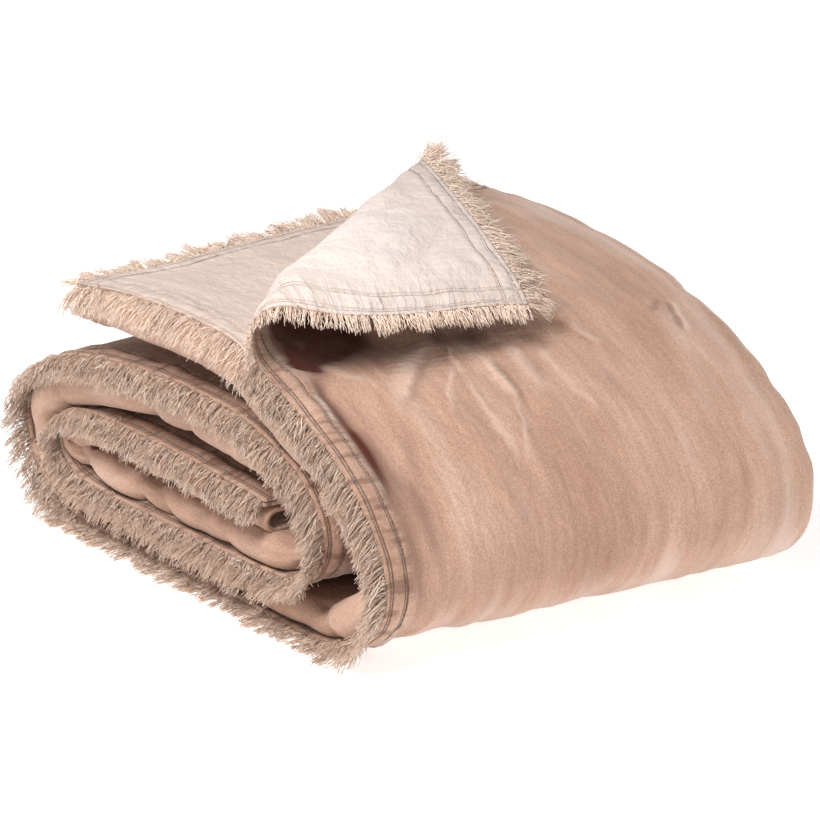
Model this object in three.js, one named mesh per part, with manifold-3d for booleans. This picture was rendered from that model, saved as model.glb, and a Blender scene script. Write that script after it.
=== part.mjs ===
import * as THREE from 'three';
import Module from 'manifold-3d';

// Velvet comforter, folded in four across its width and rolled flat, with one corner turned back.
// Millimetres, +Z up. X runs along the roll, the open fringed edges at low X, the folds at high X.

// Driving sizes
const EDGE_X = -214;
const EDGE_SKEW = -0.16;
const FOLD_X = 238;
const LAYER_GAP = 0.8;
const STRIP_WIDTH = 450;
const INNER_FOLD = 0.046;
const HEM_HALF = 1.5;
const HEM_FLAT = 8;
const HEM_RAMP = 100;
const END_BOW = 10;
const END_BOW_FADE = 170;
const FRINGE_LENGTH = 38;
const TAPE_GAP = 0.85;
const TAPE_WIDTH = 6;
const TAPE_THICKNESS = 2.2;
const LOCK_ROOT = { inset: 6, width: 15, thickness: 1.8 };
const LOCK_TIP = { width: 6, thickness: 1.2 };

// Turned corner: where its bend crosses the long edge and the end edge, and the radius there
const BEND_ON_SIDE = 317;
const BEND_ON_END = 441;
const BEND_RADIUS_SIDE = 25;
const BEND_RADIUS_END = 25;
const CORNER_LIFT = 32;
const CORNER_SETTLE = 190;

// How far the turned corner is drawn out past the end edge and past the long edge, how that fades
// along the roll, and how far its long edge sags in a belly
const CORNER_PAST_END = -10;
const CORNER_PAST_SIDE = -36;
const CORNER_FADE = 340;
const CORNER_POWER = 2.2;
const CORNER_BELLY = 19;

// The roll's path from its outer end to its core, down the middle of the four layers.
// Columns: y and z at the fringed end, y and z at the folded end, pitch of layers, rows to next
const PATH = [
  [214, 230, 288, 224, 13.5, 2],
  [126, 240, 178, 226, 14, 2],
  [40, 241, 66, 222, 14, 1],
  [-16, 235, -30, 209, 14, 1],
  [-52, 214, -88, 194, 13.5, 1],
  [-96, 191, -136, 176, 13, 1],
  [-136, 166, -175, 155, 13, 1],
  [-166, 138, -207, 131, 13, 1],
  [-186, 110, -226, 109, 12.5, 1],
  [-194, 82, -232, 82, 12, 1],
  [-186, 56, -222, 52, 11.4, 1],
  [-163, 34, -196, 29, 10.6, 1],
  [-128, 20, -150, 20, 10, 1],
  [0, 19.2, 10, 19.2, 9.8, 1],
  [130, 19.2, 150, 19.2, 9.8, 1],
  [222, 19.5, 246, 19.5, 9.8, 1],
  [264, 32, 286, 32, 10.2, 1],
  [290, 56, 310, 56, 11, 1],
  [298, 84, 317, 86, 12, 1],
  [292, 112, 311, 114, 12.5, 1],
  [270, 133, 289, 135, 13, 1],
  [234, 149, 250, 147, 13, 1],
  [176, 162, 190, 156, 13, 1],
  [100, 169, 110, 160, 13, 1],
  [30, 169, 20, 160, 13, 1],
  [-28, 163, -55, 155, 12.6, 1],
  [-72, 148, -108, 143, 12, 1],
  [-104, 128, -141, 123, 11.4, 1],
  [-116, 103, -152, 97, 10.8, 1],
  [-107, 79, -138, 74, 10.2, 1],
  [-80, 64, -106, 62, 9.8, 1],
  [-30, 60, -50, 60, 9.8, 1],
  [100, 60, 110, 60, 9.8, 1],
  [196, 60.5, 214, 60.5, 9.8, 1],
  [234, 67, 252, 67, 9.8, 2],
  [249, 83, 267, 83, 10, 2],
  [234, 99, 252, 99, 10.2, 1],
  [196, 106, 214, 106, 10.4, 1],
  [100, 106.5, 110, 106.5, 10.4, 1],
  [0, 102, 0, 102, 10.2, 1],
  [-50, 98, -60, 98, 10, 0],
];

// The four layers across the strip, from the outer open edge to the inner open edge.
// Columns: kind, then straight: level in pitches, start and end as shares of the strip, its level
// by the fringed edge, where that starts and over how far it fades in millimetres;
// fold: middle level, radius in pitches, and the way it faces
const ACROSS = [
  ['straight', 1.5, 0, 1, 1.7, 0, 100],
  ['fold', 0, 1.5, 1],
  ['straight', -1.5, 1, INNER_FOLD, -1.52, 20, 60],
  ['fold', -0.54, 0.98, -1],
  ['straight', -0.5, INNER_FOLD, 1, 0.44, 20, 60],
  ['fold', 0, 0.5, 1],
  ['straight', 0.5, 1, 0, 1.2, 0, 100],
];

// Facets of each: steps, or the places of the cuts in millimetres from the fringed edge
const FACETS = [5, 6, [280, 110, 62, 35], 6, [35, 62, 110, 280], 4, [280, 110, 62, 35, 18]];

const VELVET = new THREE.MeshStandardMaterial({ color: 0xc2998a, roughness: 0.85, metalness: 0 });
const THREAD = new THREE.MeshStandardMaterial({ color: 0xcfae98, roughness: 0.95, metalness: 0 });

const lerp = (a, b, t) => a + (b - a) * t;
const clamp = (v, lo, hi) => Math.min(hi, Math.max(lo, v));
const smooth = (t) => t * t * (3 - 2 * t);

const curveOf = (y, z) =>
  new THREE.CatmullRomCurve3(
    PATH.map((row) => new THREE.Vector3(0, row[y], row[z])),
    false,
    'centripetal',
  );
const nearCurve = curveOf(0, 1);
const farCurve = curveOf(2, 3);

// Distance along the roll at even shares of its path
const SAMPLES = 1200;
const along = [0];
for (let i = 1; i <= SAMPLES; i += 1) {
  const step = [nearCurve, farCurve].map((c) =>
    c.getPoint(i / SAMPLES).distanceTo(c.getPoint((i - 1) / SAMPLES)),
  );
  along.push(along[i - 1] + (step[0] + step[1]) / 2);
}
const ROLL_LENGTH = along[SAMPLES];

function shareAt(distance) {
  if (distance <= 0) return distance / (along[1] * SAMPLES);
  let low = 0;
  let high = SAMPLES;
  while (high - low > 1) {
    const middle = (low + high) >> 1;
    if (along[middle] > distance) high = middle;
    else low = middle;
  }
  return (low + (distance - along[low]) / (along[high] - along[low])) / SAMPLES;
}

function distanceAt(share) {
  const at = share * SAMPLES;
  const low = clamp(Math.floor(at), 0, SAMPLES - 1);
  return lerp(along[low], along[low + 1], at - low);
}

function onCurve(curve, share) {
  const inside = clamp(share, 0, 1);
  const point = curve.getPoint(inside);
  const slope = curve.getPoint(Math.min(inside + 0.0005, 1));
  slope.sub(curve.getPoint(Math.max(inside - 0.0005, 0)));
  if (share < 0) point.addScaledVector(slope, (share - inside) * 2000);
  return [point, slope.normalize()];
}

function pitchAt(share) {
  const at = clamp(share, 0, 1) * (PATH.length - 1);
  const low = Math.min(Math.floor(at), PATH.length - 2);
  return lerp(PATH[low][4], PATH[low + 1][4], at - low);
}

// A point of the strip: distance along the roll, share across it, its overhang, height off the middle
function place(distance, across, overhang, level) {
  const share = shareAt(distance);
  const [near, nearWay] = onCurve(nearCurve, share);
  const [far, farWay] = onCurve(farCurve, share);
  const edge = EDGE_X + EDGE_SKEW * near.y;
  const y = lerp(near.y, far.y, across);
  const z = lerp(near.z, far.z, across);
  const inside = clamp(across, 0, 1);
  const way = nearWay.lerp(farWay, inside).normalize();
  const bow = END_BOW * 4 * inside * (1 - inside) * smooth(clamp(1 - distance / END_BOW_FADE, 0, 1));
  return new THREE.Vector3(
    lerp(edge, FOLD_X, across) + overhang,
    y + way.z * level,
    z - way.y * level + bow,
  );
}

// The turned corner: rolls the outer layer round its bend and back over itself
const bendSpan = Math.hypot(BEND_ON_SIDE, BEND_ON_END);
const fadeAt = (distance) => smooth(clamp(1 - distance / CORNER_FADE, 0, 1)) ** CORNER_POWER;
const toCorner = new THREE.Vector2(-BEND_ON_END / bendSpan, -BEND_ON_SIDE / bendSpan);
const alongBend = new THREE.Vector2(-BEND_ON_SIDE / bendSpan, BEND_ON_END / bendSpan);

function turned(distance, across, level) {
  const drawn = (1 - across) * fadeAt(distance);
  const long = distance - CORNER_PAST_END * drawn;
  const belly = Math.sin(Math.PI * clamp(distance / BEND_ON_SIDE, 0, 1)) * (1 - across) ** 2;
  const wide = across * STRIP_WIDTH - CORNER_PAST_SIDE * drawn - CORNER_BELLY * belly;
  const from = new THREE.Vector2(long - BEND_ON_SIDE, wide);
  const past = from.dot(toCorner);
  if (past <= 0) return place(long, wide / STRIP_WIDTH, 0, level);
  const run = from.dot(alongBend);
  const radius = lerp(BEND_RADIUS_SIDE, BEND_RADIUS_END, clamp(run / bendSpan, -0.2, 1.2));
  const angle = past / radius;
  let reach = radius * Math.sin(angle);
  let lift = radius * (1 - Math.cos(angle));
  if (angle > Math.PI) {
    const back = past - Math.PI * radius;
    reach = -back;
    lift = lerp(2 * radius, CORNER_LIFT, smooth(clamp(back / CORNER_SETTLE, 0, 1)));
  }
  const spot = new THREE.Vector2(BEND_ON_SIDE, 0)
    .addScaledVector(alongBend, run)
    .addScaledVector(toCorner, reach);
  return place(spot.x, spot.y / STRIP_WIDTH, 0, level + lift);
}

// A point of the cloth's middle: distance along the roll, part of ACROSS, share of that part
function cloth(distance, part, share) {
  const pitch = pitchAt(shareAt(distance));
  const row = ACROSS[part];
  if (row[0] === 'straight') {
    const across = lerp(row[2], row[3], share);
    const [atEdge, from, fade] = row.slice(4);
    const settled = smooth(clamp((across * STRIP_WIDTH - from) / fade, 0, 1));
    const level = lerp(atEdge, row[1], settled) * pitch;
    if (part === 0) return turned(distance, across, level);
    return place(distance, across, 0, level);
  }
  const angle = Math.PI * share;
  const start = row[3] > 0 && row[1] === 0 && row[2] > 1 ? 1 : -1;
  return place(
    distance,
    row[3] > 0 ? 1 : INNER_FOLD,
    row[3] * row[2] * pitch * Math.sin(angle),
    (row[1] + start * row[2] * Math.cos(angle)) * pitch,
  );
}

// Half the thickness, which thins towards the sewn edges
function halfAt(distance, part, share) {
  const full = (pitchAt(shareAt(distance)) - LAYER_GAP) / 2;
  const row = ACROSS[part];
  const ends = Math.min(distance, ROLL_LENGTH - distance);
  const open = part === 0 || part === ACROSS.length - 1;
  const inset = open ? Math.min(ends, lerp(row[2], row[3], share) * STRIP_WIDTH) : ends;
  return lerp(HEM_HALF, full, smooth(clamp((inset - HEM_FLAT) / HEM_RAMP, 0, 1)));
}

function facing(distance, part, share) {
  const lower = Math.max(share - 0.002, part === 0 ? -0.2 : 0);
  const upper = Math.min(share + 0.002, part === ACROSS.length - 1 ? 1.2 : 1);
  const wide = cloth(distance, part, upper).sub(cloth(distance, part, lower));
  const back = distance >= ROLL_LENGTH - 1 ? distance - 1 : distance;
  const long = cloth(back + 0.5, part, share).sub(cloth(back - 0.5, part, share));
  return wide.cross(long).normalize().negate();
}

// Where the cloth is cut into facets along the roll and across it
const rows = [];
PATH.slice(0, -1).forEach((row, i) => {
  for (let k = 0; k < row[5]; k += 1) {
    rows.push(distanceAt((i + k / row[5]) / (PATH.length - 1)));
  }
});
rows.push(ROLL_LENGTH);

const BEND_STEPS = 7;
const TURNED_STEPS = 4;

// Shares of the outer layer, which keep to the lines of the turned corner's bend
function outerShares(distance) {
  const fade = fadeAt(distance);
  const drawn = (CORNER_PAST_END / BEND_ON_SIDE + CORNER_PAST_SIDE / BEND_ON_END) * fade;
  const rate = STRIP_WIDTH / BEND_ON_END + drawn;
  const bend = clamp((1 - distance / BEND_ON_SIDE + drawn) / rate, 0.08, 0.985);
  const radius = lerp(BEND_RADIUS_SIDE, BEND_RADIUS_END, bend);
  const full = (Math.PI * radius * bendSpan) / (BEND_ON_SIDE * BEND_ON_END * rate);
  const round = Math.min(full, bend * 0.72);
  const list = [];
  for (let k = 0; k < TURNED_STEPS; k += 1) list.push(((bend - round) * k) / TURNED_STEPS);
  for (let k = 0; k < BEND_STEPS; k += 1) list.push(bend - round + (round * k) / BEND_STEPS);
  const flat = FACETS[0];
  for (let k = 0; k <= flat; k += 1) list.push(lerp(bend, 1, k / flat));
  return list;
}

function columns(distance) {
  const list = outerShares(distance).map((share) => [0, share]);
  FACETS.slice(1).forEach((cuts, i) => {
    const [kind, , start, end] = ACROSS[i + 1];
    if (kind === 'fold') {
      for (let k = 1; k <= cuts; k += 1) list.push([i + 1, k / cuts]);
    } else {
      cuts.forEach((cut) => list.push([i + 1, (cut / STRIP_WIDTH - start) / (end - start)]));
      list.push([i + 1, 1]);
    }
  });
  return list;
}

function meshOf(positions, index, material, name) {
  const geometry = new THREE.BufferGeometry();
  geometry.setAttribute('position', new THREE.Float32BufferAttribute(positions, 3));
  geometry.setIndex(index);
  geometry.computeVertexNormals();
  const mesh = new THREE.Mesh(geometry, material);
  mesh.name = name;
  return mesh;
}

function comforter() {
  const positions = [];
  const wide = columns(0).length;
  const put = (point) => positions.push(point.x, point.y, Math.max(point.z, 0));
  rows.forEach((distance) => {
    columns(distance).forEach(([part, share]) => {
      const half = halfAt(distance, part, share);
      const middle = cloth(distance, part, share);
      const out = facing(distance, part, share);
      put(middle.clone().addScaledVector(out, half));
      put(middle.addScaledVector(out, -half));
    });
  });
  const index = [];
  const quad = (a, b, c, d) => index.push(a, b, c, a, c, d);
  const at = (i, j, side) => 2 * (i * wide + j) + side;
  const last = rows.length - 1;
  for (let i = 0; i < last; i += 1) {
    for (let j = 0; j < wide - 1; j += 1) {
      quad(at(i, j, 0), at(i + 1, j, 0), at(i + 1, j + 1, 0), at(i, j + 1, 0));
      quad(at(i, j, 1), at(i, j + 1, 1), at(i + 1, j + 1, 1), at(i + 1, j, 1));
    }
    quad(at(i, 0, 0), at(i, 0, 1), at(i + 1, 0, 1), at(i + 1, 0, 0));
    const w = wide - 1;
    quad(at(i, w, 0), at(i + 1, w, 0), at(i + 1, w, 1), at(i, w, 1));
  }
  for (let j = 0; j < wide - 1; j += 1) {
    quad(at(0, j, 0), at(0, j + 1, 0), at(0, j + 1, 1), at(0, j, 1));
    quad(at(last, j, 0), at(last, j, 1), at(last, j + 1, 1), at(last, j + 1, 0));
  }
  return meshOf(positions, index, VELVET, 'comforter');
}

// The fringed edges: part of ACROSS and its open end for a long edge, spacing of the locks, how
// steeply they hang on the turned corner or flap, up to where, how steeply elsewhere, and how low
// the tips may reach
const FRINGES = [
  {
    name: 'fringe_outer_long_edge',
    part: 0,
    share: 0,
    pitch: 27,
    turned: 0.2,
    until: BEND_ON_SIDE,
    droop: 0.8,
    floor: 0,
  },
  {
    name: 'fringe_inner_long_edge',
    part: 6,
    share: 1,
    pitch: 34,
    turned: 1.1,
    until: 230,
    droop: 0.75,
    floor: 9,
  },
  { name: 'fringe_end_edge', pitch: 29, turned: 0.2, droop: 0.35, floor: 0 },
];

const isLong = (fringe) => fringe.part >= 0;

// Edge of the cloth at one place: its point, the way out of the cloth, along the edge and its face
function edgeAt(fringe, distance, part, share) {
  const face = facing(distance, part, share);
  const here = cloth(distance, part, share);
  const inside = isLong(fringe)
    ? cloth(distance, part, lerp(share, 0.5, 0.01))
    : cloth(distance + 0.5, part, share);
  const start = Math.min(distance, ROLL_LENGTH - 0.5);
  const lower = Math.min(share, 0.997);
  const onward = isLong(fringe)
    ? cloth(start + 0.5, part, share).sub(cloth(start, part, share))
    : cloth(distance, part, lower + 0.003).sub(cloth(distance, part, lower));
  const out = onward.cross(face).normalize();
  if (out.dot(inside.sub(here)) > 0) out.negate();
  return { here, out, side: out.clone().cross(face), face };
}

const corner = (edge, out, side, face) =>
  edge.here
    .clone()
    .addScaledVector(edge.out, out)
    .addScaledVector(edge.side, side)
    .addScaledVector(edge.face, face);

function solidOf(manifold, points, faces) {
  const mesh = new manifold.Mesh({
    numProp: 3,
    vertProperties: new Float32Array(points.flatMap((p) => [p.x, p.y, p.z])),
    triVerts: new Uint32Array(faces.flat()),
  });
  return new manifold.Manifold(mesh);
}

// A tube through a row of rings of the same number of corners, closed at both ends
function tube(manifold, rings) {
  const faces = [];
  const sides = rings[0].length;
  for (let i = 0; i < rings.length - 1; i += 1) {
    for (let k = 0; k < sides; k += 1) {
      const a = sides * i + k;
      const b = sides * i + ((k + 1) % sides);
      faces.push([a, b, b + sides], [a, b + sides, a + sides]);
    }
  }
  const end = sides * (rings.length - 1);
  for (let k = 1; k < sides - 1; k += 1) {
    faces.push([0, k + 1, k], [end, end + k, end + k + 1]);
  }
  const solid = solidOf(manifold, rings.flat(), faces);
  if (solid.volume() > 0) return solid;
  return solidOf(manifold, rings.flat(), faces.map(([a, b, c]) => [a, c, b]));
}

function lockRing(edge, centre, size) {
  const shift = (side, face) =>
    centre
      .clone()
      .addScaledVector(edge.side, (side * size.width) / 2)
      .addScaledVector(edge.face, (face * size.thickness) / 2);
  return [shift(-1, -1), shift(1, -1), shift(0, 1)];
}

const uneven = (i) => {
  const wave = Math.sin(i * 12.9898) * 43758.5453;
  return wave - Math.floor(wave);
};

function fringe(manifold, row) {
  const stops = isLong(row)
    ? rows.map((distance) => [distance, row.part, row.share])
    : columns(0).map(([part, share]) => [0, part, share]);
  const edges = stops.map((stop) => edgeAt(row, ...stop));
  const half = TAPE_THICKNESS / 2;
  const rings = edges.map((edge) => [
    corner(edge, TAPE_GAP, 0, -half),
    corner(edge, TAPE_GAP + TAPE_WIDTH, 0, -half),
    corner(edge, TAPE_GAP + TAPE_WIDTH, 0, half),
    corner(edge, TAPE_GAP, 0, half),
  ]);
  const pieces = [tube(manifold, rings)];
  let gone = 0;
  let next = row.pitch / 2;
  let count = 0;
  for (let i = 0; i < edges.length - 1; i += 1) {
    const length = edges[i].here.distanceTo(edges[i + 1].here);
    while (next < gone + length) {
      const t = (next - gone) / length;
      const edge = {};
      ['here', 'out', 'side', 'face'].forEach((key) => {
        edge[key] = edges[i][key].clone().lerp(edges[i + 1][key], t);
        if (key !== 'here') edge[key].normalize();
      });
      const onCorner = isLong(row) ? stops[i][0] < row.until : stops[i][1] === 0;
      const drop = onCorner ? row.turned : row.droop;
      const way = edge.out.clone().addScaledVector(edge.side, 0.2 * (uneven(count) - 0.5));
      way.z -= drop;
      way.normalize();
      const root = corner(edge, LOCK_ROOT.inset, 0, 0);
      const tip = root.clone().addScaledVector(way, FRINGE_LENGTH * (0.86 + 0.2 * uneven(count + 7)));
      const low = 0.5 * (LOCK_TIP.thickness * Math.abs(edge.face.z) + LOCK_TIP.width * Math.abs(edge.side.z));
      tip.z = Math.max(tip.z, low + row.floor);
      pieces.push(tube(manifold, [lockRing(edge, root, LOCK_ROOT), lockRing(edge, tip, LOCK_TIP)]));
      next += row.pitch;
      count += 1;
    }
    gone += length;
  }
  const joined = manifold.Manifold.union(pieces);
  const mesh = joined.getMesh();
  return meshOf(Array.from(mesh.vertProperties), Array.from(mesh.triVerts), THREAD, row.name);
}

const manifold = await Module();
manifold.setup();

const part = new THREE.Group();
part.name = 'velvet_comforter';
part.add(comforter());
FRINGES.forEach((row) => part.add(fringe(manifold, row)));

// The frame's origin is under the middle of the whole, on the surface it rests on
const bounds = new THREE.Box3().setFromObject(part);
const middle = bounds.getCenter(new THREE.Vector3());
part.children.forEach((mesh) => mesh.geometry.translate(-middle.x, -middle.y, -bounds.min.z));

export default part;
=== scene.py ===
import math

import bpy
import numpy as np
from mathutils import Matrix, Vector


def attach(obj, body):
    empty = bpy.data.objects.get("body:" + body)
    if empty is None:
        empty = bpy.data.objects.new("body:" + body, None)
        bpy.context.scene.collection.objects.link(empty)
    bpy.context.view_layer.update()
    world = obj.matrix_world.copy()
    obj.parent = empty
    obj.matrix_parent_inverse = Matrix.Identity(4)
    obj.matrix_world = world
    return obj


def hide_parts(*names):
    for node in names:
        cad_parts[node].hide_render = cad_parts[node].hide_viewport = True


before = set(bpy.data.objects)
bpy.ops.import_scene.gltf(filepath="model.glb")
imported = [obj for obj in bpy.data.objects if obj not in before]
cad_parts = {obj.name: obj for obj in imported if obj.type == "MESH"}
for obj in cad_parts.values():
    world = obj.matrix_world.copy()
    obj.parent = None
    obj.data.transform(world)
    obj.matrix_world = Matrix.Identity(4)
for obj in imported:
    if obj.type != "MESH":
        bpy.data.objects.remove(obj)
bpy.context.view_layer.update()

MM = 0.001
# The bundle's middle in the drawing frame of the tables below, in millimetres
MIDDLE = np.array([-16.1036, 42.5259, 0.0])

# Sizes, in millimetres, as in the solids
EDGE_X = -214.0
EDGE_SKEW = -0.16
FOLD_X = 238.0
LAYER_GAP = 0.8
STRIP_WIDTH = 450.0
INNER_FOLD = 0.032
BEND_ON_SIDE = 317.0
BEND_ON_END = 441.0
BEND_RADIUS_SIDE = 25.0
BEND_RADIUS_END = 25.0
CORNER_LIFT = 32.0
CORNER_SETTLE = 190.0
CORNER_PAST_END = -10.0
CORNER_PAST_SIDE = -36.0
CORNER_FADE = 340.0
CORNER_POWER = 2.2
CORNER_BELLY = 19.0
END_BOW = 10.0
END_BOW_FADE = 170.0

# The roll's path from its outer end to its core, down the middle of the four layers.
# Columns: y and z at the fringed end, y and z at the folded end, pitch of layers
PATH = np.array([
    [214, 230, 288, 224, 13.5],
    [126, 240, 178, 226, 14],
    [40, 241, 66, 222, 14],
    [-16, 235, -30, 209, 14],
    [-52, 214, -88, 194, 13.5],
    [-96, 191, -136, 176, 13],
    [-136, 166, -175, 155, 13],
    [-166, 138, -207, 131, 13],
    [-186, 110, -226, 109, 12.5],
    [-194, 82, -232, 82, 12],
    [-186, 56, -222, 52, 11.4],
    [-163, 34, -196, 29, 10.6],
    [-128, 20, -150, 20, 10],
    [0, 19.2, 10, 19.2, 9.8],
    [130, 19.2, 150, 19.2, 9.8],
    [222, 19.5, 246, 19.5, 9.8],
    [264, 32, 286, 32, 10.2],
    [290, 56, 310, 56, 11],
    [298, 84, 317, 86, 12],
    [292, 112, 311, 114, 12.5],
    [270, 133, 289, 135, 13],
    [234, 149, 250, 147, 13],
    [176, 162, 190, 156, 13],
    [100, 169, 110, 160, 13],
    [30, 169, 20, 160, 13],
    [-28, 163, -55, 155, 12.6],
    [-72, 148, -108, 143, 12],
    [-104, 128, -141, 123, 11.4],
    [-116, 103, -152, 97, 10.8],
    [-107, 79, -138, 74, 10.2],
    [-80, 64, -106, 62, 9.8],
    [-30, 60, -50, 60, 9.8],
    [100, 60, 110, 60, 9.8],
    [196, 60.5, 214, 60.5, 9.8],
    [234, 67, 252, 67, 9.8],
    [249, 83, 267, 83, 10],
    [234, 99, 252, 99, 10.2],
    [196, 106, 214, 106, 10.4],
    [100, 106.5, 110, 106.5, 10.4],
    [0, 102, 0, 102, 10.2],
    [-50, 98, -60, 98, 10],
])

# The four layers across the strip. Columns: kind, level or middle level, start and end share
# or radius and the way it faces, all in pitches
ACROSS = [
    ("straight", 1.5, 0.0, 1.0),
    ("fold", 0.0, 1.5, 1),
    ("straight", -1.5, 1.0, INNER_FOLD),
    ("fold", -0.54, 0.98, -1),
    ("straight", -0.5, INNER_FOLD, 1.0),
    ("fold", 0.0, 0.5, 1),
    ("straight", 0.5, 1.0, 0.0),
]
OUTER, OUTER_FOLD, UNDER, INNER, MIDLAYER, DEEP_FOLD, FLAP = range(7)

# Near its open edges the cloth thins to a sewn hem, and the inner fold swells into the room there.
# Columns: part, its level at the edge in pitches, where that starts and over how far it fades
EDGES = {
    OUTER: (1.7, 0.0, 100.0),
    FLAP: (1.2, 0.0, 100.0),
    MIDLAYER: (0.44, INNER_FOLD * STRIP_WIDTH, 60.0),
    UNDER: (-1.52, INNER_FOLD * STRIP_WIDTH, 60.0),
}
# Where each part starts across the flat cloth, the width of a bend there, and the whole width
ACROSS_FROM = (0, 450, 480, 900, 920, 1370, 1380)
BEND_WIDTH = 30
ACROSS_WHOLE = 1830

# The sewn hem: half its thickness, its flat strip and slope, its grooves, each with two rows of
# stitches, and the lines along which it is cut into facets, all from the edge
HEM_HALF = 1.5
HEM_FLAT = 8.0
HEM_RAMP = 100.0
GROOVES = (6.0, 21.0)
SEAM_HALF = 1.3
HEM_CUTS = np.array([0, 3, 6, 9, 13.5, 18, 21, 24, 28.0])


def lerp(a, b, t):
    return a + (b - a) * t


def smooth(t):
    t = np.clip(t, 0.0, 1.0)
    return t * t * (3 - 2 * t)


def unit(v):
    return v / np.maximum(np.linalg.norm(v, axis=-1, keepdims=True), 1e-12)


def spline(points, share):
    """Points of a centripetal curve through the stations, at shares of its count of stations."""
    points = np.vstack([2 * points[0] - points[1], points, 2 * points[-1] - points[-2]])
    at = np.clip(share, 0, 1) * (len(points) - 3)
    low = np.minimum(at.astype(int), len(points) - 4)
    t = (at - low)[..., None]
    p = [points[low + k] for k in range(4)]
    d = [np.maximum(((p[k + 1] - p[k]) ** 2).sum(-1, keepdims=True) ** 0.25, 1e-6) for k in range(3)]
    start = ((p[1] - p[0]) / d[0] - (p[2] - p[0]) / (d[0] + d[1]) + (p[2] - p[1]) / d[1]) * d[1]
    end = ((p[2] - p[1]) / d[1] - (p[3] - p[1]) / (d[1] + d[2]) + (p[3] - p[2]) / d[2]) * d[1]
    c2 = -3 * p[1] + 3 * p[2] - 2 * start - end
    c3 = 2 * p[1] - 2 * p[2] + start + end
    return p[1] + start * t + c2 * t ** 2 + c3 * t ** 3


SAMPLES = 1200
SHARES = np.linspace(0, 1, SAMPLES + 1)
RUN = np.concatenate([[0], np.cumsum(sum(
    np.linalg.norm(np.diff(spline(PATH[:, k:k + 2], SHARES), axis=0), axis=1) for k in (0, 2)
) / 2)])
LENGTH = float(RUN[-1])


def share_at(distance):
    inside = np.interp(distance, RUN, SHARES)
    return np.where(distance < 0, distance / (RUN[1] * SAMPLES), inside)


def on_curve(points, share):
    inside = np.clip(share, 0, 1)
    point = spline(points, inside)
    slope = spline(points, np.minimum(inside + 0.0005, 1)) - spline(points, np.maximum(inside - 0.0005, 0))
    point = point + slope * ((share - inside) * 2000)[..., None] * (share < 0)[..., None]
    return point, unit(slope)


def pitch_at(distance):
    return np.interp(share_at(distance), np.linspace(0, 1, len(PATH)), PATH[:, 4])


def place(distance, across, overhang, level):
    """A point of the strip: distance along the roll, share across, overhang, height off its middle."""
    share = share_at(distance)
    near, near_way = on_curve(PATH[:, 0:2], share)
    far, far_way = on_curve(PATH[:, 2:4], share)
    edge = EDGE_X + EDGE_SKEW * near[..., 0]
    t = across[..., None]
    spot = lerp(near, far, t)
    way = unit(lerp(near_way, far_way, np.clip(t, 0, 1)))
    inside = np.clip(across, 0, 1)
    bow = END_BOW * 4 * inside * (1 - inside) * smooth(1 - distance / END_BOW_FADE)
    return np.stack([
        lerp(edge, FOLD_X, across) + overhang,
        spot[..., 0] + way[..., 1] * level,
        spot[..., 1] - way[..., 0] * level + bow,
    ], -1)


SPAN = math.hypot(BEND_ON_SIDE, BEND_ON_END)
TO_CORNER = np.array([-BEND_ON_END, -BEND_ON_SIDE]) / SPAN
ALONG_BEND = np.array([-BEND_ON_SIDE, BEND_ON_END]) / SPAN


def fade_at(distance):
    return smooth(1 - distance / CORNER_FADE) ** CORNER_POWER


def past_bend(distance, across):
    """The outer layer laid flat: its place along and across, past the bend's line and along it."""
    drawn = (1 - across) * fade_at(distance)
    long = distance - CORNER_PAST_END * drawn
    belly = np.sin(math.pi * np.clip(distance / BEND_ON_SIDE, 0, 1)) * (1 - across) ** 2
    wide = across * STRIP_WIDTH - CORNER_PAST_SIDE * drawn - CORNER_BELLY * belly
    past = (long - BEND_ON_SIDE) * TO_CORNER[0] + wide * TO_CORNER[1]
    run = (long - BEND_ON_SIDE) * ALONG_BEND[0] + wide * ALONG_BEND[1]
    return long, wide, past, run


def turned(distance, across, level):
    """The outer layer, with its corner rolled round the bend and back over itself."""
    long, wide, past, run = past_bend(distance, across)
    radius = lerp(BEND_RADIUS_SIDE, BEND_RADIUS_END, np.clip(run / SPAN, -0.2, 1.2))
    angle = np.clip(past / radius, 0, math.pi)
    back = np.maximum(past - math.pi * radius, 0)
    reach = np.where(back > 0, -back, radius * np.sin(angle))
    settled = lerp(2 * radius, CORNER_LIFT, smooth(back / CORNER_SETTLE))
    lift = np.where(back > 0, settled, radius * (1 - np.cos(angle)))
    over = past > 0
    long = np.where(over, BEND_ON_SIDE + ALONG_BEND[0] * run + TO_CORNER[0] * reach, long)
    wide = np.where(over, ALONG_BEND[1] * run + TO_CORNER[1] * reach, wide)
    return place(long, wide / STRIP_WIDTH, 0 * long, level + np.where(over, lift, 0))


def cloth(distance, part, share):
    """A point of the middle of the cloth, for one part of ACROSS."""
    pitch = pitch_at(distance)
    row = ACROSS[part]
    if row[0] == "straight":
        across = lerp(row[2], row[3], share)
        at_edge, start, fade = EDGES[part]
        level = lerp(at_edge, row[1], smooth((across * STRIP_WIDTH - start) / fade)) * pitch
        if part == OUTER:
            return turned(distance, across, level)
        return place(distance, across, 0 * distance, level)
    angle = math.pi * share
    start = 1 if part == OUTER_FOLD else -1
    across = np.full_like(distance, 1.0 if row[3] > 0 else INNER_FOLD)
    return place(
        distance, across, row[3] * row[2] * pitch * np.sin(angle),
        (row[1] + start * row[2] * np.cos(angle)) * pitch,
    )


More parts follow.
